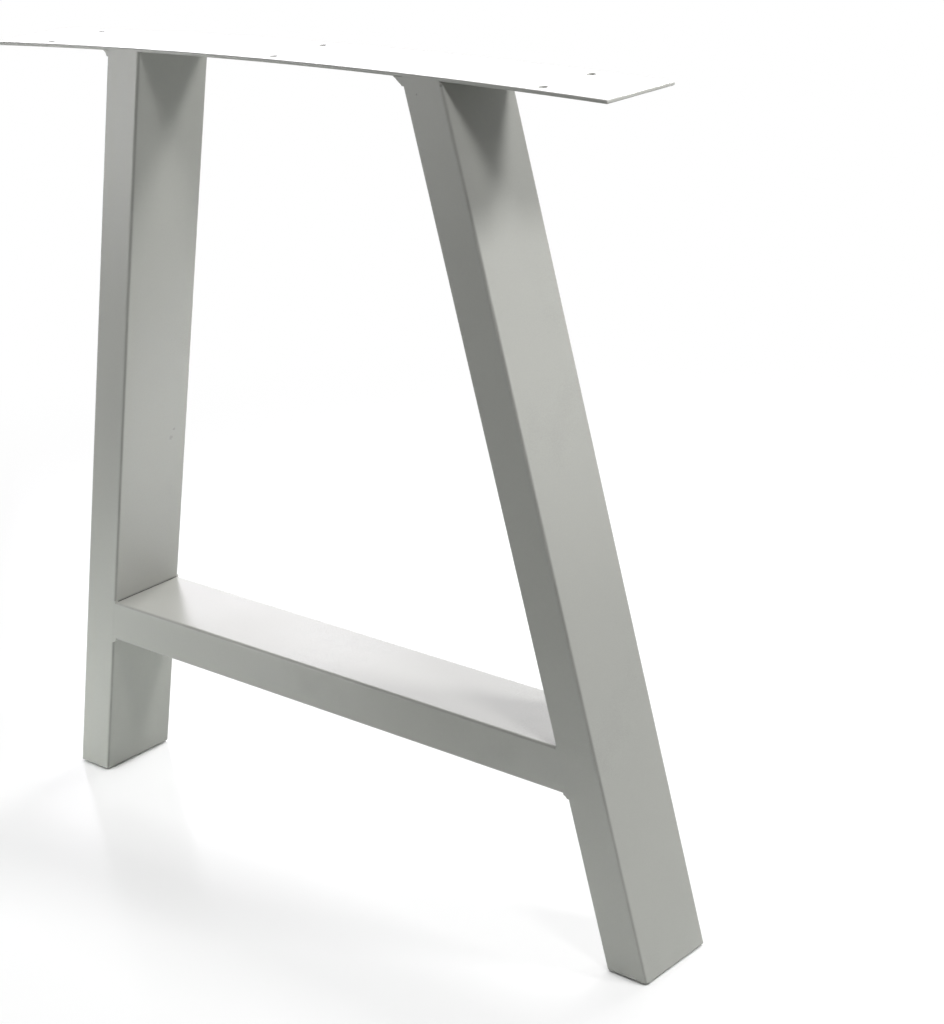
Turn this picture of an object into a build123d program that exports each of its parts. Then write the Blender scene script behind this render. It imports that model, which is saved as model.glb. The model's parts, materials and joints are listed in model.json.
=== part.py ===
"""A-shaped steel table leg: two splayed rectangular tubes under a flat top plate, tied by a crossbar.

Millimetres, +Z up. The origin is on the floor, midway between the two feet.
X runs across the A from foot to foot, and Y runs through the depth of the tubes.
The front view of the A is the view along +Y.
"""

import os
from math import atan2, cos, degrees, radians, sin

from build123d import *

# Overall sizes of the frame
frame_height = 720.0          # floor to the top of the plate
foot_spread = 705.0           # outside to outside of the tubes at their lower ends
top_spread = 378.0            # outside to outside of the tubes under the plate
bar_underside = 150.0         # floor to the underside of the crossbar

# Rectangular steel tube, the same stock for legs and crossbar
tube_face = 40.0              # narrow side, seen in the front view
tube_depth = 80.0             # wide side
tube_wall = 2.0
tube_inner_radius = 1.0       # inside radius of the tube's corners

# Top plate and its screw holes
plate_length = 690.0
plate_thickness = 3.0
screw_hole = 6.5              # diameter
screw_end_distance = 68.0     # end of the plate to the first pair of holes
screw_edge_distance = 12.0    # long edge of the plate to a row of holes
screw_pairs = 3

# Lower ends of the tubes
cap_thickness = 3.0           # plate welded inside the tube's open end
cap_clearance = 0.2           # between that plate and the tube's walls
pad_thickness = 2.0
pad_inset = 6.0               # outside of the tube to the edge of the floor pad
pad_corner = 3.0              # corner radius of the pad

# Weld beads: the size is the length of each side, the hollow is how far the face dips
left_bead = 5.0
left_bead_hollow = 1.4
right_bead = 7.0
right_bead_hollow = 0.4
bar_bead = 4.0
bar_bead_hollow = 0.8
weld_runout = 1.5             # how far the crossbar's seam runs on above its top face
ground_margin = 0.5           # the ground seam stops this far short of the tube's flat face

# Sizes worked out from the ones above
tube_radius = tube_inner_radius + tube_wall
leg_bottom = pad_thickness
leg_top = frame_height - plate_thickness
bar_top = bar_underside + tube_face
lean = degrees(atan2((foot_spread - top_spread) / 2, leg_top - leg_bottom))
face_across = tube_face / cos(radians(lean))       # level width of a leaning tube
seam_reach = (tube_radius - ground_margin) / cos(radians(lean))


def outer_edge(height):
    """Distance from the middle of the A to a leg's outer face at a height."""
    rise = (height - leg_bottom) / (leg_top - leg_bottom)
    return foot_spread / 2 + (top_spread - foot_spread) / 2 * rise


def inner_edge(height):
    """Distance from the middle of the A to a leg's inner face at a height."""
    return outer_edge(height) - face_across


def level_slab(low, high):
    """A block wider than the frame between two heights, used for level cuts."""
    side = foot_spread + plate_length
    return Pos(0, 0, (low + high) / 2) * Box(side, side, high - low)


def between_legs(low, high):
    """The space between the legs' inner faces, between two heights."""
    outline = Polyline(
        (-inner_edge(low), low),
        (inner_edge(low), low),
        (inner_edge(high), high),
        (-inner_edge(high), high),
        close=True,
    )
    return extrude(Plane.XZ * make_face(outline), tube_depth, both=True)


def tube_outside(width, height):
    """Outline of the outside of the tube."""
    return RectangleRounded(width, height, tube_radius)


def tube_inside(width, height, clearance=0.0):
    """Outline of the hollow of the tube, or of a piece that fits it with a clearance."""
    smaller = 2 * (tube_wall + clearance)
    return RectangleRounded(width - smaller, height - smaller, tube_inner_radius)


def along_leg(side, outline, low, high):
    """An outline run along a leg's slope and cut level at two heights. Side is -1 or 1."""
    slope = radians(lean)
    middle = outer_edge(leg_bottom) - face_across / 2
    axis = Vector(-side * sin(slope), 0, cos(slope))
    start = Vector(side * middle, 0, leg_bottom) - axis * tube_face
    plane = Plane(start, x_dir=(cos(slope), 0, side * sin(slope)), z_dir=axis)
    length = (leg_top - leg_bottom) / cos(slope) + 2 * tube_face
    return extrude(plane * outline, length) & level_slab(low, high)


def leg(side):
    """One leg: rectangular tube, cut level at the plate and at the floor."""
    section = tube_outside(tube_face, tube_depth) - tube_inside(tube_face, tube_depth)
    return along_leg(side, section, leg_bottom, leg_top)


def leg_outside(side):
    """The leg's outside as a filled block, which the welds are cut against."""
    return along_leg(side, tube_outside(tube_face, tube_depth), leg_bottom, leg_top)


def along_bar(outline):
    """An outline run along the crossbar, with both ends cut to the legs' inner faces."""
    reach = inner_edge(bar_underside)
    plane = Plane((-reach, 0, (bar_underside + bar_top) / 2), x_dir=(0, 1, 0), z_dir=(1, 0, 0))
    return extrude(plane * outline, 2 * reach) & between_legs(bar_underside, bar_top)


def crossbar():
    """The crossbar: the same tube lying level between the legs."""
    return along_bar(tube_outside(tube_depth, tube_face) - tube_inside(tube_depth, tube_face))


def top_plate():
    """Flat plate flush with the tubes' faces, with pairs of screw holes along it."""
    pair_spacing = (plate_length - 2 * screw_end_distance) / (screw_pairs - 1)
    row_spacing = tube_depth - 2 * screw_edge_distance
    holes = GridLocations(pair_spacing, row_spacing, screw_pairs, 2) * Circle(screw_hole / 2)
    outline = Rectangle(plate_length, tube_depth) - holes
    return Pos(0, 0, leg_top) * extrude(outline, plate_thickness)


def end_cap(side):
    """Plate that closes the lower end of a leg, flush with the tube's cut."""
    outline = tube_inside(tube_face, tube_depth, cap_clearance)
    return along_leg(side, outline, leg_bottom, leg_bottom + cap_thickness)


def floor_pad(side):
    """Thin pad under a foot, set back from the tube's outside."""
    outline = RectangleRounded(face_across - 2 * pad_inset, tube_depth - 2 * pad_inset, pad_corner)
    middle = outer_edge(leg_bottom) - face_across / 2
    return Pos(side * middle, 0, 0) * extrude(outline, pad_thickness)


def hollow_face(start, end, corner, hollow):
    """The face of a bead between its two toes, dipping towards the corner it fills."""
    middle = (Vector(*start) + Vector(*end)) / 2
    dip = (Vector(*corner) - middle).normalized() * hollow
    return ThreePointArc(start, middle + dip, end)


def full_depth(face):
    """A front-view face run through the full depth of the tubes."""
    return extrude(Plane.XZ * face, tube_depth / 2, both=True)


def plate_weld(side, edge, bead, hollow):
    """Bead under the plate on the -X face of a leg. Edge gives that face's X at a height."""
    toe = leg_top - bead
    on_plate = (edge(leg_top) - bead, leg_top)
    on_leg = (edge(toe), toe)
    inside_low = (edge(toe) + seam_reach, toe)
    inside_high = (edge(leg_top) + seam_reach, leg_top)
    face = hollow_face(on_plate, on_leg, (edge(leg_top), leg_top), hollow)
    rest = Polyline(on_leg, inside_low, inside_high, on_plate)
    return full_depth(make_face(face + rest)) - leg_outside(side)


def bar_weld(side):
    """Seam round an end of the crossbar: ground flush in front and behind, a bead below."""
    toe = bar_underside - bar_bead
    crown = bar_top + weld_runout
    root = bar_underside + tube_radius - ground_margin
    on_bar = (side * (inner_edge(bar_underside) - bar_bead), bar_underside)
    on_leg = (side * inner_edge(toe), toe)
    corner = (side * inner_edge(bar_underside), bar_underside)
    face = hollow_face(on_bar, on_leg, corner, bar_bead_hollow)
    rest = Polyline(
        on_leg,
        (side * (inner_edge(toe) + seam_reach), toe),
        (side * (inner_edge(crown) + seam_reach), crown),
        (side * inner_edge(crown), crown),
        (side * inner_edge(root), root),
        (on_bar[0], root),
        on_bar,
    )
    block = full_depth(make_face(face + rest))
    return block - leg_outside(side) - along_bar(tube_outside(tube_depth, tube_face))


def table_leg():
    """Every piece of the frame by its node name."""
    return {
        "top_plate": top_plate(),
        "crossbar": crossbar(),
        "left_leg": leg(-1),
        "right_leg": leg(1),
        "left_end_cap": end_cap(-1),
        "right_end_cap": end_cap(1),
        "left_floor_pad": floor_pad(-1),
        "right_floor_pad": floor_pad(1),
        "left_plate_weld": plate_weld(-1, lambda z: -outer_edge(z), left_bead, left_bead_hollow),
        "right_plate_weld": plate_weld(1, inner_edge, right_bead, right_bead_hollow),
        "left_crossbar_weld": bar_weld(-1),
        "right_crossbar_weld": bar_weld(1),
    }


os.makedirs("parts", exist_ok=True)
for name, piece in table_leg().items():
    export_step(piece, f"parts/{name}.step")
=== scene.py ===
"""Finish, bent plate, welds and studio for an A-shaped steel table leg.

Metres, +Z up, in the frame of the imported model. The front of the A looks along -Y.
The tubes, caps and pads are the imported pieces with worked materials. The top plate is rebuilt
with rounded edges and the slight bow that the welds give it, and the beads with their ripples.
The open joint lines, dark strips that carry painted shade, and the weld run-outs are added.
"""

import json
from math import cos, pi, radians, sin

import bmesh
import bpy
from bpy.props import (
    FloatProperty,
    FloatVectorProperty,
    IntProperty,
    PointerProperty,
)
from bpy.types import Operator, Panel, PropertyGroup
from mathutils import Matrix, Vector


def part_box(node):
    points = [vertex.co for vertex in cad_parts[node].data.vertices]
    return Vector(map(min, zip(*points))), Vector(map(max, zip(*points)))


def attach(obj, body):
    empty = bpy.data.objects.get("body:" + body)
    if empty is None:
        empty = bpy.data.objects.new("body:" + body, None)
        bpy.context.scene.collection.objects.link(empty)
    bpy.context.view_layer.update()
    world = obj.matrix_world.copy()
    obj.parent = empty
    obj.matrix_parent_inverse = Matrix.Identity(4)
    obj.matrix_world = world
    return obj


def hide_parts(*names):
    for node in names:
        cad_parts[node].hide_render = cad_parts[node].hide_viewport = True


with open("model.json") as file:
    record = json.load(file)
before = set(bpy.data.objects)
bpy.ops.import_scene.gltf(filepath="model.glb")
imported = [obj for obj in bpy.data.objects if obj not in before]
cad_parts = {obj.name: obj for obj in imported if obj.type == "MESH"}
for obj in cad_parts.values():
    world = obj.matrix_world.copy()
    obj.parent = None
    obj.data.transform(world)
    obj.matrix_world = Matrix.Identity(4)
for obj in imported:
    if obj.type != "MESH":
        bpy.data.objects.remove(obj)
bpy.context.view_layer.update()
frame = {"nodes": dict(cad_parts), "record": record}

bl_info = {
    "name": "Steel Table Leg",
    "version": (1, 0, 0),
    "blender": (4, 5, 0),
    "location": "View3D > Sidebar > Table Leg",
    "description": "Powder coat, weld beads, floor pads and studio for a welded A-shaped table leg",
    "category": "Object",
}

MM = 0.001
TUBE_NODES = ("left_leg", "right_leg", "crossbar", "left_end_cap", "right_end_cap")
PAD_NODES = ("left_floor_pad", "right_floor_pad")
SIDES = {"left": -1, "right": 1}

# Sizes that no setting holds
CORNER_REACH = 2.5 * MM       # a bead's hidden part goes this far past the tube's corner
SEAM_REACH = CORNER_REACH / cos(radians(12.9))   # the same, measured level on a leaning leg
SEAM_RUNOUT = 1.5 * MM        # how far the crossbar's seam runs on above its top face
BEAD_LIFT = 0.05 * MM         # sinks the bead's top into the bowed plate
PLATE_INSET = 0.03 * MM       # keeps the plate's long edges off the plane of the tubes' faces
PLATE_STEP = 22 * MM          # longest side of a square in the plate's mesh
BAR_LINE_INSET = 2.6 * MM     # from the tube's flat face to the end of a line on the crossbar
PLATE_LINE_INSET = 1.6 * MM   # the same for a line under the plate
RUNOUT_SHIFT = (0.4 * MM, 0.1 * MM)   # how far a run-out lies past its line's end, and below
BAND_WIDTH = 0.9 * MM         # reach of the band along an edge: painted highlight and thin coat on the plate, dust on the pads

# How far the coat's shade swings at full cloudiness and at full flake, and its shift of hue
CLOUD_SWING, FLAKE_SWING = 0.22, 0.16
RED_SHIFT, BLUE_SHIFT = 0.12, 0.1
ROUGH_DRIFT, ROUGH_GRAIN = 0.035, 0.02
# Factors on the coat colour: painted highlight with thin coat on edges, painted dark reflection on
# corners, darker patches
EDGE_THIN_AND_HIGHLIGHT_TONE, CORNER_TONE, MARK_TONE = 1.3, 0.2, 0.3

# Floor: fades from the object outwards (near, far), and the share of the bounce at the far end
BOUNCE_NEAR, BOUNCE_FAR_SHARE = 0.3, 0.28
WHITE_FADE = (0.7, 1.6)
CONTACT_FADE = (0.35, 0.85)


def slot_colour(slot):
    """The record's colour for a material slot."""
    for entry in frame["record"]["materials"]:
        if entry["slot"] == slot:
            return tuple(entry["base_color"][:3])
    raise RuntimeError("the packed record has no slot named " + slot)


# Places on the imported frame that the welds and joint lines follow

leg_low, leg_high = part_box("right_leg")
bar_low, bar_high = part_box("crossbar")
plate_low, plate_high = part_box("top_plate")
TUBE_HALF_DEPTH = leg_high.y
PLATE_UNDERSIDE = plate_low.z
BAR_UNDERSIDE = bar_low.z
BAR_TOP = bar_high.z
LEG_BOTTOM = leg_low.z
PLATE_TOP = plate_high.z
PLATE_HALF_LENGTH = plate_high.x


def leg_line():
    """A leg's outer distance at the floor end, its change per metre, and its level width."""
    spots = [v.co for v in frame["nodes"]["right_leg"].data.vertices]
    foot = [p.x for p in spots if p.z < LEG_BOTTOM + 0.1 * MM]
    top = [p.x for p in spots if p.z > PLATE_UNDERSIDE - 0.1 * MM]
    slope = (max(top) - max(foot)) / (PLATE_UNDERSIDE - LEG_BOTTOM)
    return max(foot), slope, max(foot) - min(foot)


OUTER_LOW, OUTER_SLOPE, FACE_ACROSS = leg_line()


def outer_edge(height):
    """Distance from the middle of the A to a leg's outer face."""
    return OUTER_LOW + OUTER_SLOPE * (height - LEG_BOTTOM)


def inner_edge(height):
    """Distance from the middle of the A to a leg's inner face."""
    return outer_edge(height) - FACE_ACROSS


# Settings


def colour_setting(name, description, default):
    """A colour."""
    return FloatVectorProperty(
        name=name, description=description, subtype="COLOR", size=3, min=0.0, max=1.0,
        default=default,
    )


def share_setting(name, description, default, low=0.0):
    """A plain number from a low limit to one."""
    return FloatProperty(
        name=name, description=description, subtype="FACTOR", min=low, max=1.0, default=default
    )


def length_setting(name, description, default, **limits):
    """A length in metres."""
    return FloatProperty(
        name=name, description=description, unit="LENGTH", default=default, **limits
    )


def power_setting(name, lamp, default):
    """Power of a lamp in watts."""
    return FloatProperty(
        name=name, description="Power of the " + lamp, subtype="POWER", unit="POWER", min=0.0,
        default=default,
    )


def angle_setting(name, description, default):
    """An angle in radians, shown in degrees."""
    return FloatProperty(
        name=name, description=description, subtype="ANGLE", unit="ROTATION", default=default
    )


class CoatSettings(PropertyGroup):
    """Powder coat on the steel."""

    colour: colour_setting("Coat colour", "Main colour of the powder coat", (0.367, 0.368, 0.345))
    cloud: share_setting(
        "Cloudiness", "How much the shade drifts where the coat is thicker or thinner", 0.1
    )
    speckle: share_setting("Flake", "Strength of the fine metallic speckle", 0.25)
    metal: share_setting(
        "Metal share", "How much of the shine comes from the metal flake in the coat", 0.0
    )
    roughness: share_setting(
        "Roughness", "Roughness of the coat, lower for a glossier one", 0.3, low=0.05
    )
    sheen_level: share_setting("Gloss level", "How strongly the coat mirrors its surroundings", 0.4)
    peel_size: length_setting(
        "Peel size", "Distance between the waves of the orange peel", 2.2 * MM, min=0.0005
    )
    peel_depth: length_setting(
        "Peel depth", "Height of the waves of the orange peel", 0.012 * MM, min=0.0
    )
    # Painted dark reflection: darkens the coat colour along the middle of the tubes' rounded
    # corners, which mirror the dark room in front of the object
    corner_dark_reflection: share_setting(
        "Corner shade",
        "How much darker the thin coat looks along the rounded corners of the tubes",
        0.36,
    )
    # Lighter band along the plate's edges: thinner coat there, with a painted highlight on it
    edge_thin_and_highlight: share_setting(
        "Edge thinning", "How much lighter the coat looks along the plate's edges", 0.35
    )


class PlateSettings(PropertyGroup):
    """Top plate, pulled slightly down at its ends by the welds."""

    bow: length_setting(
        "Bow",
        "How far the welds have pulled down the ends of the plate. Zero gives a flat plate",
        7.0 * MM,
        min=0.0,
        max=0.012,
    )
    edge_round: length_setting(
        "Edge rounding",
        "Rounding of the plate's cut edges and of its screw holes",
        1.15 * MM,
        min=0.0001,
    )


class WeldSettings(PropertyGroup):
    """Beads under the plate and round the crossbar."""

    left_bead: length_setting(
        "Left bead", "Side length of the bead under the plate at the left leg", 5.0 * MM
    )
    right_bead: length_setting(
        "Right bead", "Side length of the bead under the plate at the right leg", 7.0 * MM
    )
    bar_bead: length_setting(
        "Crossbar bead", "Side length of the beads under the crossbar", 3.0 * MM
    )
    left_hollow: length_setting("Left hollow", "How far the left bead's face dips", 1.4 * MM)
    right_hollow: length_setting("Right hollow", "How far the right bead's face dips", 0.4 * MM)
    bar_hollow: length_setting(
        "Crossbar hollow", "How far the face of a crossbar bead dips", 0.4 * MM
    )
    pitch: length_setting(
        "Ripple pitch", "Distance between two ripples of a bead", 1.7 * MM, min=0.0005
    )
    depth: length_setting(
        "Ripple depth", "Height of the ripples under the coat", 0.48 * MM, min=0.0
    )
    slices: IntProperty(
        name="Slices per ripple", description="Mesh rows in each ripple", min=4, max=12, default=7
    )


class SeamSettings(PropertyGroup):
    """Open joint lines on top of the crossbar and under the plate, and weld run-outs."""

    gap_width: length_setting(
        "Gap width", "Width of the open line between two pieces", 0.9 * MM, min=0.0001
    )
    gap_colour: colour_setting("Gap colour", "Shade inside the open line", (0.045, 0.043, 0.038))
    runout_size: length_setting(
        "Run-out size",
        "Radius of the small drop of weld at each end of the line",
        1.25 * MM,
        min=0.0001,
    )


class PadSettings(PropertyGroup):
    """Thin pads under the feet."""

    colour: colour_setting("Pad colour", "Colour of the pads", slot_colour("floor_pad"))
    roughness: share_setting("Roughness", "Roughness of the pads", 0.78, low=0.05)
    grain_size: length_setting("Grain size", "Size of the moulded grain", 0.6 * MM, min=0.0002)


class StageSettings(PropertyGroup):
    """Floor, lights and camera."""

    floor_colour: colour_setting("Floor colour", "Colour of the studio floor", (0.88, 0.885, 0.88))
    floor_reach: length_setting(
        "Floor reach", "Distance from the middle of the floor to its edge", 14.0
    )
    floor_white: share_setting(
        "Floor white", "How far the floor is held at plain white for the camera", 0.7
    )
    contact_reach: length_setting(
        "Contact reach",
        "How near to the floor a piece has to be to darken it",
        12.0 * MM,
        min=0.001,
    )
    bounce_colour: colour_setting(
        "Bounce colour",
        "Colour of the floor in the light that it throws back on the object",
        (0.88, 0.92, 0.89),
    )
    bounce_reach: length_setting(
        "Bounce reach",
        "Distance from the middle at which the floor throws back little light",
        1.1,
        min=0.1,
    )
    room_light: FloatProperty(
        name="Room light", description="Even light from all round", min=0.0, default=0.0
    )
    right_front_light: power_setting(
        "Right front light", "soft panel high at the right and a little to the front", 10.65
    )
    right_back_light: power_setting(
        "Right back light", "soft panel high at the right and a little to the back", 16.87
    )
    left_front_light: power_setting("Left front light", "soft panel at the front left", 6.8)
    left_high_light: power_setting(
        "Left high light", "narrow beam on the top of the left leg", 0.06
    )
    left_near_light: power_setting("Left near light", "small panel close to the left leg", 0.45)
    left_foot_light: power_setting("Left foot light", "small low panel before the left foot", 0.36)
    floor_light: power_setting(
        "Floor light", "low panel between the feet that stands for light off the floor", 0.08
    )
    back_light: power_setting(
        "Back light", "soft panel behind, which the crossbar's top mirrors", 19.5
    )
    back_high_light: power_setting(
        "Back high light", "soft panel high behind, which lights the top of the crossbar", 32.28
    )
    left_low_light: power_setting("Left low light", "narrow beam on the left foot", 0.07)
    right_low_light: power_setting("Right low light", "narrow beam on the right foot", 0.03)
    right_side_light: power_setting(
        "Right side light", "narrow beam on the right leg's outer side", 0.017
    )
    inside_light: power_setting("Inside light", "narrow beam on the left leg's inner side", 0.028)
    bar_front_light: power_setting("Bar front light", "narrow beam on the crossbar's front", 0.03)
    azimuth: angle_setting(
        "Camera azimuth",
        "Direction that the camera stands in, from the front towards the right",
        radians(42.293),
    )
    elevation: angle_setting(
        "Camera elevation", "Height of the camera's axis above the horizon", radians(20.479)
    )
    roll: angle_setting("Camera roll", "Turn of the camera about its own axis", radians(-3.491))
    eye: FloatVectorProperty(
        name="Camera place",
        description="Where the camera stands",
        subtype="TRANSLATION",
        unit="LENGTH",
        size=3,
        default=(1.32313, -1.28062, 1.00246),
    )
    lens: FloatProperty(
        name="Lens",
        description="Focal length for a 36 mm long side",
        subtype="DISTANCE_CAMERA",
        default=79.70,
    )


# Node helpers


def first_output(source):
    """The first output of a node. Sockets and plain values stay as they are."""
    return source.outputs[0] if isinstance(source, bpy.types.Node) else source


def join(source, target):
    """A link from a node or an output socket to an input socket."""
    target.id_data.links.new(first_output(source), target)


def add(tree, kind, inputs=None, **settings):
    """A new node with its settings, and its inputs fed by nodes, sockets or plain values."""
    made = tree.nodes.new(kind)
    for key, value in settings.items():
        setattr(made, key, value)
    for key, source in (inputs or {}).items():
        if isinstance(first_output(source), bpy.types.NodeSocket):
            join(source, made.inputs[key])
        else:
            made.inputs[key].default_value = source
    return made


def owner(*sources):
    """The tree that the first node or socket among the sources stands in."""
    kinds = (bpy.types.Node, bpy.types.NodeSocket)
    return next(source.id_data for source in sources if isinstance(source, kinds))


def maths(operation, first, second=None, clamp=False):
    """A Math node fed by sockets or plain numbers. Gives its output."""
    inputs = {0: first} if second is None else {0: first, 1: second}
    tree = owner(first, second)
    made = add(tree, "ShaderNodeMath", inputs, operation=operation, use_clamp=clamp)
    return made.outputs[0]


def times(first, second):
    """First times second."""
    return maths("MULTIPLY", first, second)


def plus(first, second):
    """First plus second."""
    return maths("ADD", first, second)


def remap(source, from_low, from_high, to_low, to_high, smooth=False):
    """A Map Range node on a value. Gives its output."""
    inputs = {0: source, 1: from_low, 2: from_high, 3: to_low, 4: to_high}
    kind = "SMOOTHSTEP" if smooth else "LINEAR"
    made = add(owner(source), "ShaderNodeMapRange", inputs, interpolation_type=kind)
    return made.outputs[0]


def from_noise(source, low, high):
    """Spreads a noise, which mostly stays between 0.3 and 0.7, over a range."""
    return remap(source, 0.3, 0.7, low, high)


def blend_colour(share, first, second, kind="MIX"):
    """A Mix node on colours. Share, first and second are sockets or plain values."""
    inputs = {0: share, 6: first, 7: second}
    tree = owner(share, first, second)
    return add(tree, "ShaderNodeMix", inputs, data_type="RGBA", blend_type=kind).outputs[2]


def socket_kind(default):
    """The kind of socket that a default suits. Text names the kind itself."""
    if isinstance(default, tuple):
        return "Color" if len(default) == 4 else "Vector"
    return {float: "Float", int: "Int"}.get(type(default), default)


def new_tree(name, kind, inputs, outputs):
    """A node group with named sockets. Gives the group, its inputs and its outputs."""
    tree = bpy.data.node_groups.new(name, kind)
    for way, sockets in (("INPUT", inputs), ("OUTPUT", outputs)):
        for label, default in sockets.items():
            held = "NodeSocket" + socket_kind(default)
            socket = tree.interface.new_socket(label, in_out=way, socket_type=held)
            if default != socket_kind(default):
                socket.default_value = default
    return tree, add(tree, "NodeGroupInput").outputs, add(tree, "NodeGroupOutput").inputs


def new_group(name, inputs, outputs):
    """A shader group that works from a place on the piece."""
    return new_tree(name, "ShaderNodeTree", {"Vector": "Vector", **inputs}, outputs)


def sized(group, given, size, values, kind="ShaderNodeTexNoise", **settings):
    """A texture in a group, with its scale from a named size in metres."""
    scale = maths("DIVIDE", 1.0, given[size])
    return add(group, kind, {"Vector": given["Vector"], "Scale": scale, **values}, **settings)


def peel_group(name):
    """Waves of orange peel with a finer grain on them."""
    group, given, out = new_group(
        name,
        {"Peel Size": 0.002, "Grain Size": 0.0005, "Grain Share": 0.3},
        {"Height": "Float", "Grain": "Float"},
    )
    waves = sized(group, given, "Peel Size", {"Detail": 1.5, "Roughness": 0.45, "Distortion": 0.2})
    grain = sized(group, given, "Grain Size", {"Detail": 2.0, "Roughness": 0.6})
    fine = times(grain, given["Grain Share"])
    join(plus(waves, fine), out["Height"])
    join(grain, out["Grain"])
    return group


def cloud_group(name):
    """Slow drift of shade where a coat is thicker or thinner, with fine flake on it."""
    group, given, out = new_group(
        name,
        {
            "Colour": (0.5, 0.5, 0.5, 1.0),
            "Cloud": 0.3,
            "Flake": 0.2,
            "Cloud Size": 0.14,
            "Flake Size": 0.0006,
        },
        {"Colour": "Color", "Drift": "Float"},
    )
    slow = sized(group, given, "Cloud Size", {"Detail": 3.0, "Roughness": 0.5})
    flakes = sized(group, given, "Flake Size", {}, "ShaderNodeTexVoronoi", feature="F1")
    shade = add(group, "ShaderNodeSeparateColor", {0: flakes.outputs["Color"]})
    drift = from_noise(slow, -0.5, 0.5)
    glint = remap(shade, 0.0, 1.0, -0.5, 0.5)
    lift = times(drift, times(given["Cloud"], CLOUD_SWING))
    spark = times(glint, times(given["Flake"], FLAKE_SWING))
    level = plus(plus(lift, spark), 1.0)
    red = plus(level, times(lift, RED_SHIFT))
    blue = maths("SUBTRACT", level, times(lift, BLUE_SHIFT))
    tint = add(group, "ShaderNodeCombineColor", {0: red, 1: level, 2: blue})
    shaded = blend_colour(1.0, given["Colour"], tint, "MULTIPLY")
    join(shaded, out["Colour"])
    join(drift, out["Drift"])
    return group


def edge_group(name):
    """A band along the edges of a piece, broken up by noise, and the rounded normal there."""
    group, given, out = new_group(
        name, {"Break Size": 0.004}, {"Mask": "Float", "Normal": "Vector"}
    )
    rounded = add(group, "ShaderNodeBevel", {"Radius": BAND_WIDTH}, samples=6)
    surface = add(group, "ShaderNodeNewGeometry")
    angle = add(
        group, "ShaderNodeVectorMath",
        {0: rounded, 1: surface.outputs["Normal"]}, operation="DOT_PRODUCT",
    )
    band = remap(angle.outputs["Value"], 0.995, 0.80, 0.0, 1.0)
    breaks = sized(group, given, "Break Size", {"Detail": 3.0, "Roughness": 0.6})
    share = remap(breaks, 0.35, 0.65, 0.35, 1.0, smooth=True)
    join(maths("MULTIPLY", band, share, clamp=True), out["Mask"])
    join(rounded, out["Normal"])
    return group


def mark_group(name):
    """A small darker patch of coat round a place on the piece: painted shade at some places, a
    scuff at others.
    """
    group, given, out = new_group(
        name,
        {"Place": (0.0, 0.0, 0.0), "Reach": 0.001, "Ragged": 0.5},
        {"Mask": "Float"},
    )
    apart = add(
        group, "ShaderNodeVectorMath",
        {0: given["Vector"], 1: given["Place"]}, operation="DISTANCE",
    )
    rough = add(
        group, "ShaderNodeTexNoise",
        {"Scale": 700.0, "Detail": 2.0, "Vector": given["Vector"]},
    )
    shift = times(maths("SUBTRACT", rough, 0.5), given["Ragged"])
    far = maths("DIVIDE", apart.outputs["Value"], given["Reach"])
    fade = remap(plus(far, shift), 0.6, 1.1, 1.0, 0.0, smooth=True)
    join(fade, out["Mask"])
    return group


def corner_group(name):
    """Painted dark reflection: a line along the middle of the rounded corners that run between a
    tube's sides.
    """
    group, given, out = new_group(name, {"Break Size": 0.03}, {"Mask": "Float"})
    surface = add(group, "ShaderNodeNewGeometry")
    split = add(group, "ShaderNodeSeparateXYZ", {0: surface.outputs["Normal"]})
    facing = maths("ABSOLUTE", split.outputs["Y"])
    rise = remap(facing, 0.3, 0.62, 0.0, 1.0, smooth=True)
    fall = remap(facing, 0.82, 0.96, 1.0, 0.0, smooth=True)
    breaks = sized(group, given, "Break Size", {"Detail": 2.0, "Roughness": 0.5})
    share = remap(breaks, 0.35, 0.65, 0.7, 1.0, smooth=True)
    join(times(times(rise, fall), share), out["Mask"])
    return group


# Darker patches in the coat of the tubes: place, reach, raggedness and strength. The first is a
# speck on the right leg's front, the second and third painted shade in the corners where the plate
# meets the legs' fronts, the last two a scuff on the left leg's inner side
SCUFFS_AND_PAINTED_SHADE = (
    ((0.1643, -0.04, 0.7037), 0.9 * MM, 0.6, 0.45),
    ((-0.1445, -0.04, 0.7146), 1.2 * MM, 0.6, 0.6),
    ((0.1890, -0.0395, 0.7120), 1.3 * MM, 0.6, 0.5),
    ((-0.2314, 0.0235, 0.3520), 1.6 * MM, 2.2, 0.3),
    ((-0.2330, 0.0205, 0.3440), 2.2 * MM, 2.6, 0.25),
)


GROUPS = {
    "coat_peel": peel_group,
    "coat_cloud": cloud_group,
    "edge_band": edge_group,
    "coat_mark": mark_group,
    "corner_line": corner_group,
}


def new_material(name):
    """An empty material with its output's sockets and the piece's own coordinates."""
    material = bpy.data.materials.new(name)
    material.use_nodes = True
    tree = material.node_tree
    tree.nodes.clear()
    out = add(tree, "ShaderNodeOutputMaterial").inputs
    return material, tree, out, add(tree, "ShaderNodeTexCoord").outputs["Object"]


def spaced(values):
    """Values by the labels of their sockets, which have spaces where names can't."""
    return {label.replace("_", " "): value for label, value in values.items()}


def use_group(kind, vector, **values):
    """Places a shader group in the material of a vector, with its own values."""
    group = bpy.data.node_groups.get(kind) or GROUPS[kind](kind)
    inputs = {"Vector": vector, **spaced(values)}
    return add(vector.id_data, "ShaderNodeGroup", inputs, node_tree=group)


def toned(colour, level=1.0):
    """A colour with alpha, made darker or lighter by a factor."""
    return tuple(min(1.0, channel * level) for channel in colour) + (1.0,)


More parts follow.
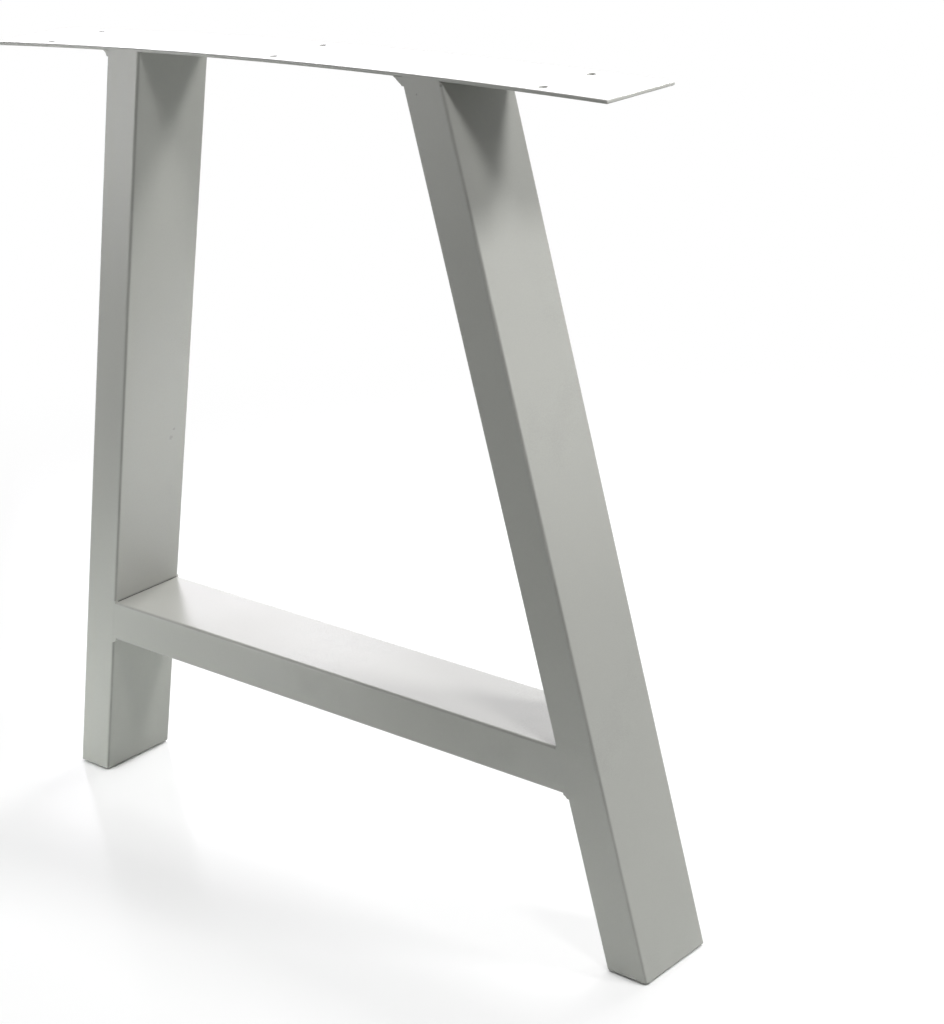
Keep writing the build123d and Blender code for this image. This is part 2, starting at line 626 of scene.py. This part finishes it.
def end_material(tree, out, colour, rough, height, depth, normal=None, **values):
    """Ends a material in a Principled BSDF, with bumps of a depth in metres."""
    bump = add(tree, "ShaderNodeBump", {"Strength": 1.0, "Distance": depth, "Height": height})
    if normal:
        join(normal, bump.inputs["Normal"])
    sockets = {"Base Color": colour, "Roughness": rough, "Normal": bump}
    skin = add(tree, "ShaderNodeBsdfPrincipled", {**sockets, **spaced(values)})
    join(skin, out["Surface"])


def coat_material(
    name, coat, rougher=0.0, darker=1.0, peel=1.0, edges=0.0, corners=0.0, streaks=0.0, marks=()
):
    """Satin powder coat: peel, shade drift, flake, thin coat with a painted highlight on edges,
    painted dark reflection on corners, darker patches.
    """
    material, tree, out, vector = new_material(name)
    cloud = use_group(
        "coat_cloud", vector,
        Colour=toned(coat.colour, darker), Cloud=coat.cloud, Flake=coat.speckle,
    )
    waves = use_group(
        "coat_peel", vector, Peel_Size=coat.peel_size, Grain_Size=0.45 * MM, Grain_Share=0.25
    )
    shade = cloud.outputs["Colour"]
    # Lighter plate edges: thinner coat with a painted highlight
    if edges:
        band = use_group("edge_band", vector)
        thin_and_lit = times(band.outputs["Mask"], coat.edge_thin_and_highlight * edges)
        shade = blend_colour(thin_and_lit, shade, toned(coat.colour, EDGE_THIN_AND_HIGHLIGHT_TONE))
    # Painted dark reflection along the rounded corners of the tubes
    if corners:
        line = use_group("corner_line", vector)
        thin = times(line.outputs["Mask"], corners)
        shade = blend_colour(thin, shade, toned(coat.colour, CORNER_TONE))
    # Darker patches: painted shade in the corners under the plate, a speck and a scuff elsewhere
    for place, reach, ragged, strength in marks:
        spot = use_group("coat_mark", vector, Place=place, Reach=reach, Ragged=ragged)
        patch = times(spot.outputs["Mask"], strength)
        shade = blend_colour(patch, shade, toned(coat.colour, MARK_TONE))
    rough = remap(cloud.outputs["Drift"], -0.5, 0.5, -ROUGH_DRIFT, ROUGH_DRIFT)
    grainy = from_noise(waves.outputs["Grain"], -ROUGH_GRAIN, ROUGH_GRAIN)
    total = plus(plus(rough, grainy), coat.roughness + rougher)
    if streaks:
        stretch = add(tree, "ShaderNodeMapping", {"Scale": (0.25, 1.0, 1.0), "Vector": vector})
        wiped = add(
            tree, "ShaderNodeTexNoise",
            {"Vector": stretch, "Scale": 30.0, "Detail": 4.0, "Roughness": 0.55},
        )
        total = plus(total, remap(wiped, 0.35, 0.7, -streaks, streaks))
    end_material(
        tree, out, shade, total, waves.outputs["Height"], coat.peel_depth * peel,
        Metallic=coat.metal, IOR=1.5, Specular_IOR_Level=coat.sheen_level,
    )
    return material


def pad_material(name, pads):
    """Dark moulded rubber with a fine grain and a dusty bloom."""
    material, tree, out, vector = new_material(name)
    cloud = use_group(
        "coat_cloud", vector,
        Colour=toned(pads.colour), Cloud=1.0, Flake=0.6, Cloud_Size=0.02, Flake_Size=0.0008,
    )
    grain = use_group(
        "coat_peel", vector, Peel_Size=pads.grain_size, Grain_Size=0.2 * MM, Grain_Share=0.4
    )
    band = use_group("edge_band", vector, Break_Size=0.002)
    dust = times(band.outputs["Mask"], 0.4)
    dusty = blend_colour(dust, cloud.outputs["Colour"], (0.16, 0.16, 0.155, 1.0))
    low, high = pads.roughness - 0.08, pads.roughness + 0.08
    rough = from_noise(grain.outputs["Grain"], low, high)
    end_material(
        tree, out, dusty, rough, grain.outputs["Height"], 0.06 * MM, band.outputs["Normal"],
        IOR=1.5,
    )
    return material


def gap_shade_material(name, seams):
    """Inside of an open joint: patchy coat over dark steel, darkened further as painted shade."""
    material, tree, out, vector = new_material(name)
    cloud = use_group(
        "coat_cloud", vector,
        Colour=toned(seams.gap_colour), Cloud=1.0, Flake=1.0, Cloud_Size=0.006, Flake_Size=0.0005,
    )
    grain = use_group("coat_peel", vector, Peel_Size=0.8 * MM, Grain_Size=0.2 * MM, Grain_Share=0.5)
    rough = from_noise(grain.outputs["Grain"], 0.55, 0.85)
    end_material(
        tree, out, cloud.outputs["Colour"], rough, grain.outputs["Height"], 0.05 * MM,
        Metallic=0.2,
    )
    return material


def dress(names, material):
    """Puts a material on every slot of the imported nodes."""
    for name in names:
        packed = frame["nodes"][name]
        if not packed.material_slots:
            packed.data.materials.append(material)
        for held in packed.material_slots:
            held.material = material


def shared_material(name, maker, *details, **more):
    """A material that is made the first time it is asked for."""
    return bpy.data.materials.get(name) or maker(name, *details, **more)


def weld_finish(coat):
    """The coat over weld metal: rougher, a little darker, and with deeper peel."""
    return shared_material(
        "weld_powder_coat", coat_material, coat, rougher=0.03, darker=0.98, peel=1.6
    )


def keep_piece(piece, *nodes):
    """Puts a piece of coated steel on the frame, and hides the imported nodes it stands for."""
    if nodes:
        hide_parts(*nodes)
    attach(piece, "root")


def new_object(name, data):
    """A new object in the scene."""
    made = bpy.data.objects.new(name, data)
    bpy.context.scene.collection.objects.link(made)
    return made


def new_blank(name, shape):
    """Turns a bmesh into an object in the scene."""
    mesh = bpy.data.meshes.new(name)
    shape.to_mesh(mesh)
    shape.free()
    return new_object(name, mesh)


def settled(source, tree, name, **inputs):
    """Runs a geometry tree on an object and gives the result as a plain piece."""
    modifier = source.modifiers.new("make", "NODES")
    modifier.node_group = tree
    sockets = {s.name: s.identifier for s in tree.interface.items_tree if s.in_out == "INPUT"}
    for label, value in spaced(inputs).items():
        modifier[sockets[label]] = value
    source.update_tag()
    graph = bpy.context.evaluated_depsgraph_get()
    mesh = bpy.data.meshes.new_from_object(source.evaluated_get(graph), depsgraph=graph)
    mesh.name = name
    made = new_object(name, mesh)
    old = source.data
    bpy.data.objects.remove(source)
    bpy.data.meshes.remove(old)
    return made


def new_geometry_tree(name, inputs):
    """A geometry tree with named inputs and its material."""
    given = {"Geometry": "Geometry", **inputs, "Material": "Material"}
    return new_tree(name, "GeometryNodeTree", given, {"Geometry": "Geometry"})


def moved(tree, geometry, socket, vectors):
    """Sets the points of a shape to places, or shifts them by offsets."""
    made = add(tree, "GeometryNodeSetPosition", {"Geometry": geometry, socket: vectors})
    return made.outputs[0]


def finish_tree(tree, geometry, given, out):
    """Ends a geometry tree with Realize Instances and Set Material."""
    real = add(tree, "GeometryNodeRealizeInstances", {0: geometry})
    finish = {"Geometry": real, "Material": given["Material"]}
    join(add(tree, "GeometryNodeSetMaterial", finish), out[0])


# Top plate


def screw_holes():
    """Radius and centres of the screw holes, from the record's mounts."""
    sizes = {m["name"]: m["dims"] for m in frame["record"]["mounts"]}
    corner = sizes["corner_screw_holes"]
    across, along = corner["spacing_y_mm"] / 2 * MM, corner["spacing_x_mm"] / 2 * MM
    centres = [(x, y) for x in (-along, 0.0, along) for y in (-across, across)]
    return corner["hole_r_mm"] * MM, centres


def plate_drop(x, bow):
    """How far the bowed plate lies below its middle at a distance along it."""
    return bow * (x / PLATE_HALF_LENGTH) ** 2


def plate_blank(settings, steps=9):
    """The flat plate with its screw holes and lightly rounded edges, before it is bowed."""
    radius, centres = screw_holes()
    half_width = TUBE_HALF_DEPTH - PLATE_INSET
    margin = half_width - max(y for _, y in centres)
    rows = [-half_width, 2 * margin - half_width, half_width - 2 * margin, half_width]
    stops = {-PLATE_HALF_LENGTH, PLATE_HALF_LENGTH}
    for x, _ in centres:
        stops |= {x - margin, x + margin}
    columns = []
    for low, high in zip(sorted(stops), sorted(stops)[1:]):
        parts = max(1, round((high - low) / PLATE_STEP)) if high - low > 2.1 * margin else 1
        columns += [low + (high - low) * i / parts for i in range(parts)]
    columns.append(PLATE_HALF_LENGTH)
    shape = bmesh.new()
    corners = [[shape.verts.new((x, y, PLATE_UNDERSIDE)) for y in rows] for x in columns]
    for i in range(len(columns) - 1):
        for j in range(len(rows) - 1):
            square = (corners[i][j], corners[i + 1][j], corners[i + 1][j + 1], corners[i][j + 1])
            middle = ((columns[i] + columns[i + 1]) / 2, (rows[j] + rows[j + 1]) / 2)
            hole = [c for c in centres if abs(c[0] - middle[0]) + abs(c[1] - middle[1]) < 0.1 * MM]
            if not hole:
                shape.faces.new(square)
                continue
            x, y = hole[0]
            ring = []
            for step in range(4 * steps):
                turn = -3 * pi / 4 + 2 * pi * step / (4 * steps)
                place = (x + radius * cos(turn), y + radius * sin(turn), PLATE_UNDERSIDE)
                ring.append(shape.verts.new(place))
            for side in range(4):
                arc = [ring[(side * steps + k) % len(ring)] for k in range(steps + 1)]
                shape.faces.new([square[side], square[(side + 1) % 4]] + arc[::-1])
    grown = bmesh.ops.extrude_face_region(shape, geom=shape.faces[:])["geom"]
    lifted = [g for g in grown if isinstance(g, bmesh.types.BMVert)]
    bmesh.ops.translate(shape, verts=lifted, vec=(0.0, 0.0, PLATE_TOP - PLATE_UNDERSIDE))
    bmesh.ops.recalc_face_normals(shape, faces=shape.faces)
    sharp = [e for e in shape.edges if len(e.link_faces) == 2 and e.calc_face_angle() > radians(60)]
    bmesh.ops.bevel(
        shape, geom=sharp, offset=settings.edge_round, segments=3, profile=0.5, affect="EDGES",
        clamp_overlap=True,
    )
    for face in shape.faces:
        face.smooth = face.calc_area() < 20 * MM * MM
    return new_blank("plate_blank", shape)


def bow_tree():
    """Geometry tree that bends a level plate down towards its ends."""
    tree, given, out = new_geometry_tree("bowed_plate", {"Bow": 0.007, "Half Length": 0.345})
    place = add(tree, "GeometryNodeInputPosition")
    split = add(tree, "ShaderNodeSeparateXYZ", {0: place})
    share = maths("DIVIDE", split.outputs["X"], given["Half Length"])
    drop = times(times(share, share), given["Bow"])
    shift = add(tree, "ShaderNodeCombineXYZ", {"Z": times(drop, -1.0)})
    bent = moved(tree, given["Geometry"], "Offset", shift)
    finish_tree(tree, bent, given, out)
    return tree


# Weld beads


def hollow_face(start, end, corner, hollow, steps=12):
    """Points of a bead's face from toe to toe, dipping towards the corner it fills."""
    start, end, corner = (Vector((p[0], 0.0, p[1])) for p in (start, end, corner))
    dip = (corner - (start + end) / 2).normalized() * hollow
    points = []
    for step in range(steps + 1):
        share = step / steps
        bulge = 1.0 - (2.0 * share - 1.0) ** 2
        points.append(start.lerp(end, share) + dip * bulge)
    return points


def bead_blank(face, rest, weld):
    """A bead run through the depth of the tube, before its ripples.

    Face holds the points that show, rest the points hidden in the steel. A point attribute
    named open says how far a point is from the toes of the face.
    """
    half = TUBE_HALF_DEPTH
    rows = int(2 * half / weld.pitch * weld.slices)
    outline = face + [Vector((x, 0.0, z)) for x, z in rest]
    open_share = [sin(pi * i / (len(face) - 1)) for i in range(len(face))] + [0.0] * len(rest)
    shape = bmesh.new()
    layer = shape.verts.layers.float.new("open")
    rings = []
    for row in range(rows + 1):
        y = -half + 2 * half * row / rows
        ring = []
        for point, share in zip(outline, open_share):
            vertex = shape.verts.new((point.x, y, point.z))
            vertex[layer] = share
            ring.append(vertex)
        rings.append(ring)
    for low, high in zip(rings, rings[1:]):
        for i in range(len(outline)):
            j = (i + 1) % len(outline)
            shape.faces.new((low[i], low[j], high[j], high[i]))
    shape.faces.new(rings[0])
    shape.faces.new(list(reversed(rings[-1])))
    bmesh.ops.recalc_face_normals(shape, faces=shape.faces)
    for side in shape.faces:
        side.smooth = len(side.verts) == 4
    return new_blank("bead", shape)


def ripple_tree(name="weld_ripples"):
    """Geometry tree that raises crescent ripples along the open face of a bead."""
    if name in bpy.data.node_groups:
        return bpy.data.node_groups[name]
    tree, given, out = new_geometry_tree(
        name, {"Pitch": 0.0017, "Depth": 0.0002, "Bow": 0.9, "Seed": 1.0}
    )
    place = add(tree, "GeometryNodeInputPosition")
    split = add(tree, "ShaderNodeSeparateXYZ", {0: place})
    share = add(tree, "GeometryNodeInputNamedAttribute", {"Name": "open"}, data_type="FLOAT")
    wander = add(
        tree, "ShaderNodeTexNoise",
        {"Scale": 160.0, "Detail": 1.0, "Vector": place, "W": given["Seed"]},
        noise_dimensions="4D",
    )
    along = maths("DIVIDE", split.outputs["Y"], given["Pitch"])
    bowed = times(share, given["Bow"])
    drift = times(wander, 1.6)
    phase = plus(plus(along, bowed), drift)
    wave = maths("SINE", times(phase, 2 * pi))
    crest = maths("POWER", remap(wave, -1.0, 1.0, 0.0, 1.0), 0.6)
    uneven = from_noise(wander, 0.55, 1.3)
    height = times(times(crest, uneven), given["Depth"])
    height = times(height, maths("POWER", share, 0.5))
    normal = add(tree, "GeometryNodeInputNormal")
    level = add(tree, "ShaderNodeVectorMath", {0: normal, 1: (1.0, 0.0, 1.0)}, operation="MULTIPLY")
    push = add(tree, "ShaderNodeVectorMath", {0: level, "Scale": height}, operation="SCALE")
    raised = moved(tree, given["Geometry"], "Offset", push)
    finish_tree(tree, raised, given, out)
    return tree


def plate_bead(side, weld, bow, material):
    """Bead under the plate on the -X face of a leg."""
    sign = SIDES[side]
    edge = (lambda z: -outer_edge(z)) if sign < 0 else inner_edge
    size = weld.left_bead if sign < 0 else weld.right_bead
    hollow = weld.left_hollow if sign < 0 else weld.right_hollow
    top = PLATE_UNDERSIDE - plate_drop(edge(PLATE_UNDERSIDE) - size, bow) + BEAD_LIFT
    toe = top - size
    face = hollow_face((edge(top) - size, top), (edge(toe), toe), (edge(top), top), hollow)
    rest = [(edge(toe) + SEAM_REACH, toe), (edge(top) + SEAM_REACH, top)]
    return settled(
        bead_blank(face, rest, weld), ripple_tree(), side + "_plate_bead",
        Pitch=weld.pitch, Depth=weld.depth, Seed=3.0 + sign, Material=material,
    )


def bar_bead(side, weld, material):
    """Seam round an end of the crossbar: a bead below, ground flush in front and behind."""
    sign = SIDES[side]
    toe = BAR_UNDERSIDE - weld.bar_bead
    crown = BAR_TOP + SEAM_RUNOUT
    root = BAR_UNDERSIDE + CORNER_REACH
    on_bar = (sign * (inner_edge(BAR_UNDERSIDE) - weld.bar_bead), BAR_UNDERSIDE)
    on_leg = (sign * inner_edge(toe), toe)
    corner = (sign * inner_edge(BAR_UNDERSIDE), BAR_UNDERSIDE)
    face = hollow_face(on_bar, on_leg, corner, weld.bar_hollow)
    rest = [
        (sign * (inner_edge(toe) + SEAM_REACH), toe),
        (sign * (inner_edge(crown) + SEAM_REACH), crown),
        (sign * inner_edge(crown), crown),
        (sign * inner_edge(root), root),
        (on_bar[0], root),
    ]
    return settled(
        bead_blank(face, rest, weld), ripple_tree(), side + "_crossbar_bead",
        Pitch=weld.pitch * 0.9, Depth=weld.depth * 0.8, Seed=7.0 + sign, Material=material,
    )


# Open joint lines and run-outs


def gap_tree():
    """Geometry tree that sweeps a thin uneven strip along a joint."""
    tree, given, out = new_geometry_tree(
        "joint_gap", {"Width": 0.0009, "Step": 0.0008, "Seed": 1.0}
    )
    to_curve = add(tree, "GeometryNodeMeshToCurve", {0: given["Geometry"]})
    even = add(
        tree, "GeometryNodeResampleCurve",
        {"Curve": to_curve, "Length": given["Step"]}, mode="LENGTH",
    )
    place = add(tree, "GeometryNodeInputPosition")
    rag = add(
        tree, "ShaderNodeTexNoise",
        {"Scale": 220.0, "Detail": 2.0, "Vector": place, "W": given["Seed"]},
        noise_dimensions="4D",
    )
    radius = times(from_noise(rag, 0.35, 0.62), given["Width"])
    ring = add(tree, "GeometryNodeCurvePrimitiveCircle", {"Resolution": 8, "Radius": 1.0})
    sweep = add(
        tree, "GeometryNodeCurveToMesh",
        {"Fill Caps": True, "Curve": even, "Profile Curve": ring, "Scale": radius},
    )
    smooth = add(tree, "GeometryNodeSetShadeSmooth", {0: sweep})
    finish_tree(tree, smooth, given, out)
    return tree


def drop_tree():
    """Geometry tree that sets a small uneven drop of weld on each point."""
    tree, given, out = new_geometry_tree("weld_drops", {"Radius": 0.0012, "Seed": 5})
    ball = add(tree, "GeometryNodeMeshIcoSphere", {"Radius": 1.0, "Subdivisions": 4})
    place = add(tree, "GeometryNodeInputPosition")
    lumps = add(tree, "ShaderNodeTexNoise", {"Scale": 1.3, "Detail": 1.5, "Vector": place})
    shaped = add(
        tree, "ShaderNodeVectorMath",
        {0: place, "Scale": from_noise(lumps, 0.72, 1.12)}, operation="SCALE",
    )
    lumpy = moved(tree, ball.outputs["Mesh"], "Position", shaped)
    smooth = add(tree, "GeometryNodeSetShadeSmooth", {0: lumpy})
    turn = add(
        tree, "FunctionNodeRandomValue",
        {1: (6.28, 6.28, 6.28), "Seed": given["Seed"]}, data_type="FLOAT_VECTOR",
    )
    size = add(
        tree, "FunctionNodeRandomValue",
        {2: 0.8, 3: 1.1, "Seed": given["Seed"]}, data_type="FLOAT",
    )
    scale = times(size.outputs[1], given["Radius"])
    points = given["Geometry"]
    spread = add(
        tree, "GeometryNodeInstanceOnPoints",
        {"Points": points, "Instance": smooth, "Rotation": turn, "Scale": scale},
    )
    finish_tree(tree, spread, given, out)
    return tree


def point_object(points, chained=False):
    """A bare object of points, joined in pairs when they are the ends of lines."""
    mesh = bpy.data.meshes.new("points")
    edges = [(i, i + 1) for i in range(0, len(points) - 1, 2)] if chained else []
    mesh.from_pydata(points, edges, [])
    return new_object("points", mesh)


# Operators


class TABLELEG_OT_coat(Operator):
    """Give the tubes and end caps their powder coat"""

    bl_idname = "tableleg.coat"
    bl_label = "Powder Coat"

    def execute(self, context):
        coat = context.scene.table_leg_coat
        tubes = shared_material(
            "tube_powder_coat", coat_material, coat, corners=coat.corner_dark_reflection, marks=SCUFFS_AND_PAINTED_SHADE
        )
        dress(TUBE_NODES, tubes)
        return {"FINISHED"}


class TABLELEG_OT_plate(Operator):
    """Build the top plate with its rounded edges, screw holes and slight bow"""

    bl_idname = "tableleg.plate"
    bl_label = "Top Plate"

    def execute(self, context):
        coat = context.scene.table_leg_coat
        plate = context.scene.table_leg_plate
        finish = shared_material(
            "plate_powder_coat", coat_material, coat, rougher=-0.02, edges=1.0, streaks=0.02
        )
        made = settled(
            plate_blank(plate), bow_tree(), "top_plate_sheet",
            Bow=plate.bow, Half_Length=PLATE_HALF_LENGTH, Material=finish,
        )
        keep_piece(made, "top_plate")
        return {"FINISHED"}


class TABLELEG_OT_welds(Operator):
    """Build the rippled weld beads under the plate and round the crossbar"""

    bl_idname = "tableleg.welds"
    bl_label = "Weld Beads"

    def execute(self, context):
        weld = context.scene.table_leg_welds
        bow = context.scene.table_leg_plate.bow
        finish = weld_finish(context.scene.table_leg_coat)
        for side in SIDES:
            keep_piece(plate_bead(side, weld, bow, finish), side + "_plate_weld")
            keep_piece(bar_bead(side, weld, finish), side + "_crossbar_weld")
        return {"FINISHED"}


class TABLELEG_OT_seams(Operator):
    """Add the open joint lines and the small weld run-outs where the tubes have no bead"""

    bl_idname = "tableleg.seams"
    bl_label = "Open Joint Lines"

    def execute(self, context):
        seams = context.scene.table_leg_seams
        bow = context.scene.table_leg_plate.bow
        past, below = RUNOUT_SHIFT
        reach = TUBE_HALF_DEPTH - BAR_LINE_INSET
        edge = inner_edge(BAR_TOP)
        lines, ends = [], []
        for sign in SIDES.values():
            lines += [(sign * edge, way * reach, BAR_TOP) for way in (-1, 1)]
            ends += [(sign * edge, way * (reach + past), BAR_TOP - below) for way in (-1, 1)]
        reach = TUBE_HALF_DEPTH - PLATE_LINE_INSET
        for edge in (-inner_edge(PLATE_UNDERSIDE), outer_edge(PLATE_UNDERSIDE)):
            height = PLATE_UNDERSIDE - plate_drop(edge, bow)
            lines += [(edge, way * reach, height) for way in (-1, 1)]
        # The joint lines are dark strips: painted shade inside the open joints
        strip = settled(
            point_object(lines, chained=True), gap_tree(), "open_joint_lines",
            Width=seams.gap_width, Seed=2.0,
            Material=shared_material("joint_gap", gap_shade_material, seams),
        )
        drops = settled(
            point_object(ends), drop_tree(), "crossbar_weld_runouts",
            Radius=seams.runout_size, Seed=4, Material=weld_finish(context.scene.table_leg_coat),
        )
        keep_piece(strip)
        keep_piece(drops)
        return {"FINISHED"}


class TABLELEG_OT_pads(Operator):
    """Give the floor pads their rubber"""

    bl_idname = "tableleg.pads"
    bl_label = "Floor Pads"

    def execute(self, context):
        dress(PAD_NODES, shared_material("pad_rubber", pad_material, context.scene.table_leg_pads))
        return {"FINISHED"}


def soft_panel(name, place, aim, size, beam, power, colour):
    """A rectangular soft light that the camera doesn't see."""
    light = bpy.data.lights.new(name, "AREA")
    light.shape = "RECTANGLE"
    light.size, light.size_y = size
    light.spread = radians(beam)
    light.energy = power
    light.color = colour
    holder = new_object(name, light)
    holder.location = place
    holder.rotation_euler = (Vector(aim) - Vector(place)).to_track_quat("-Z", "Y").to_euler()
    holder.visible_camera = False


NEUTRAL, COOL, GREENISH = (1.0, 1.0, 1.0), (0.955, 0.925, 1.0), (0.95, 1.0, 0.96)

# Name, place, what it points at, width and height, angle of the beam in degrees, and colour.
# The setting with the same name holds the power
PANELS = (
    ("right_front", (1.3, -0.4, 1.53), (0.3, 0.0, 0.4), (0.25, 0.25), 180, NEUTRAL),
    ("right_back", (1.3, 0.43, 1.48), (0.3, 0.0, 0.4), (0.25, 0.25), 180, NEUTRAL),
    ("left_front", (-1.15, -0.95, 0.75), (-0.27, -0.04, 0.4), (0.8, 1.0), 180, NEUTRAL),
    ("left_high", (-0.9, -1.1, 0.9), (-0.18, -0.04, 0.68), (0.2, 0.2), 20, NEUTRAL),
    ("left_near", (-0.75, -0.25, 0.35), (-0.3, 0.0, 0.3), (0.4, 0.5), 180, NEUTRAL),
    ("left_foot", (-0.5, -0.42, 0.07), (-0.34, -0.04, 0.07), (0.3, 0.12), 180, GREENISH),
    ("left_low", (-0.7, -1.0, 0.25), (-0.33, -0.04, 0.07), (0.2, 0.2), 20, GREENISH),
    ("right_low", (0.3, -1.4, 0.3), (0.32, -0.04, 0.07), (0.2, 0.2), 16, NEUTRAL),
    ("right_side", (1.2, 0.1, 0.5), (0.25, 0.0, 0.47), (0.2, 0.2), 14, NEUTRAL),
    ("inside", (0.8, 0.5, 0.6), (-0.25, 0.0, 0.34), (0.2, 0.2), 12, NEUTRAL),
    ("bar_front", (-0.05, -1.4, 0.3), (-0.05, -0.04, 0.17), (0.2, 0.2), 16, NEUTRAL),
    ("floor", (0.0, 0.0, 0.012), (0.0, 0.0, 1.0), (0.5, 0.25), 180, GREENISH),
    ("back", (-2.26, 2.26, 1.25), (0.0, 0.0, 0.5), (1.6, 0.8), 180, COOL),
    ("back_high", (-0.1, 1.3, 1.5), (-0.1, 0.0, 0.19), (0.8, 0.5), 180, NEUTRAL),
)


def seen_directly(tree):
    """One where a ray comes from the camera, or from it by way of a gloss or a glass."""
    path = add(tree, "ShaderNodeLightPath")
    gloss = maths("MAXIMUM", path.outputs["Is Camera Ray"], path.outputs["Is Glossy Ray"])
    return maths("MAXIMUM", gloss, path.outputs["Is Transmission Ray"])


class TABLELEG_OT_stage(Operator):
    """Set up the floor, the soft lights and the camera"""

    bl_idname = "tableleg.stage"
    bl_label = "Stage"

    def execute(self, context):
        stage = context.scene.table_leg_stage
        self.floor(stage)
        self.room(context.scene, stage)
        self.lights(stage)
        self.camera(context.scene, stage)
        context.scene.view_settings.view_transform = "Standard"
        return {"FINISHED"}

    def floor(self, stage):
        """A wide pale floor that keeps the object's shadow and a faint sheen."""
        reach = stage.floor_reach
        mesh = bpy.data.meshes.new("studio_floor")
        corners = ((-1, -1), (1, -1), (1, 1), (-1, 1))
        mesh.from_pydata([(x * reach, y * reach, 0.0) for x, y in corners], [], [(0, 1, 2, 3)])
        ground = new_object("studio_floor", mesh)
        material, tree, out, vector = new_material("studio_floor")
        grain = add(tree, "ShaderNodeTexNoise", {"Scale": 4.0, "Detail": 3.0, "Vector": vector})
        seen = seen_directly(tree)
        apart = add(tree, "ShaderNodeVectorMath", {0: vector}, operation="LENGTH")
        distance = apart.outputs["Value"]
        away = remap(distance, BOUNCE_NEAR, stage.bounce_reach, 0.0, 1.0, smooth=True)
        near, far = toned(stage.bounce_colour), toned(stage.bounce_colour, BOUNCE_FAR_SHARE)
        bounce = blend_colour(away, near, far)
        pale = blend_colour(seen, bounce, toned(stage.floor_colour))
        sheen = from_noise(grain, 0.16, 0.2)
        matt = add(tree, "ShaderNodeBsdfPrincipled", {"Base Color": pale, "Roughness": sheen})
        share = remap(distance, *WHITE_FADE, stage.floor_white, 1.0, smooth=True)
        nook = add(tree, "ShaderNodeAmbientOcclusion", {"Distance": stage.contact_reach}, samples=8)
        lit = remap(nook.outputs["AO"], *CONTACT_FADE, 0.0, 1.0, smooth=True)
        white = add(tree, "ShaderNodeEmission", {"Color": (1.0, 1.0, 1.0, 1.0), "Strength": 1.0})
        plain = times(seen, times(share, lit))
        blend = add(tree, "ShaderNodeMixShader", {0: plain, 1: matt, 2: white})
        join(blend, out["Surface"])
        mesh.materials.append(material)

    def room(self, scene, stage):
        """White all round for the camera, and an even light on the object where one is set."""
        world = bpy.data.worlds.new("studio_room")
        scene.world = world
        world.use_nodes = True
        tree = world.node_tree
        tree.nodes.clear()
        out = add(tree, "ShaderNodeOutputWorld").inputs
        level = remap(seen_directly(tree), 0.0, 1.0, stage.room_light, 1.0)
        white = {"Color": (1.0, 1.0, 1.0, 1.0), "Strength": level}
        join(add(tree, "ShaderNodeBackground", white), out["Surface"])

    def lights(self, stage):
        """The panels and narrow beams, each with the power that its setting holds."""
        for name, place, aim, size, beam, colour in PANELS:
            power = getattr(stage, name + "_light")
            soft_panel(name + "_panel", place, aim, size, beam, power, colour)

    def camera(self, scene, stage):
        """The camera where the photograph was taken from."""
        turn, rise, roll = stage.azimuth, stage.elevation, stage.roll
        back = Vector((sin(turn) * cos(rise), -cos(turn) * cos(rise), sin(rise)))
        right = Vector((cos(turn), sin(turn), 0.0))
        up = back.cross(right)
        across = right * cos(roll) + up * sin(roll)
        upward = up * cos(roll) - right * sin(roll)
        lens = bpy.data.cameras.new("studio_camera")
        lens.lens = stage.lens
        lens.sensor_width = 36.0
        holder = new_object("studio_camera", lens)
        turned = Matrix((across, upward, back)).transposed().to_4x4()
        holder.matrix_world = Matrix.Translation(stage.eye) @ turned
        scene.camera = holder


class TABLELEG_PT_panel(Panel):
    """Buttons for each group of pieces of the table leg"""

    bl_idname = "TABLELEG_PT_panel"
    bl_label = "Table Leg"
    bl_space_type = "VIEW_3D"
    bl_region_type = "UI"
    bl_category = "Table Leg"

    def draw(self, context):
        for operator, holder, _ in STEPS:
            box = self.layout.box()
            box.operator(operator.bl_idname)
            settings = getattr(context.scene, holder)
            for key in settings.__annotations__:
                box.prop(settings, key)


STEPS = (
    (TABLELEG_OT_coat, "table_leg_coat", CoatSettings),
    (TABLELEG_OT_plate, "table_leg_plate", PlateSettings),
    (TABLELEG_OT_welds, "table_leg_welds", WeldSettings),
    (TABLELEG_OT_seams, "table_leg_seams", SeamSettings),
    (TABLELEG_OT_pads, "table_leg_pads", PadSettings),
    (TABLELEG_OT_stage, "table_leg_stage", StageSettings),
)


def register():
    for operator, holder, kind in STEPS:
        bpy.utils.register_class(kind)
        setattr(bpy.types.Scene, holder, PointerProperty(type=kind))
        bpy.utils.register_class(operator)
    bpy.utils.register_class(TABLELEG_PT_panel)


def unregister():
    bpy.utils.unregister_class(TABLELEG_PT_panel)
    for operator, holder, kind in reversed(STEPS):
        bpy.utils.unregister_class(operator)
        delattr(bpy.types.Scene, holder)
        bpy.utils.unregister_class(kind)


def main():
    """Builds everything in order."""
    register()
    for operator, _, _ in STEPS:
        group, label = operator.bl_idname.split(".")
        getattr(getattr(bpy.ops, group), label)()


if __name__ == "__main__":
    main()
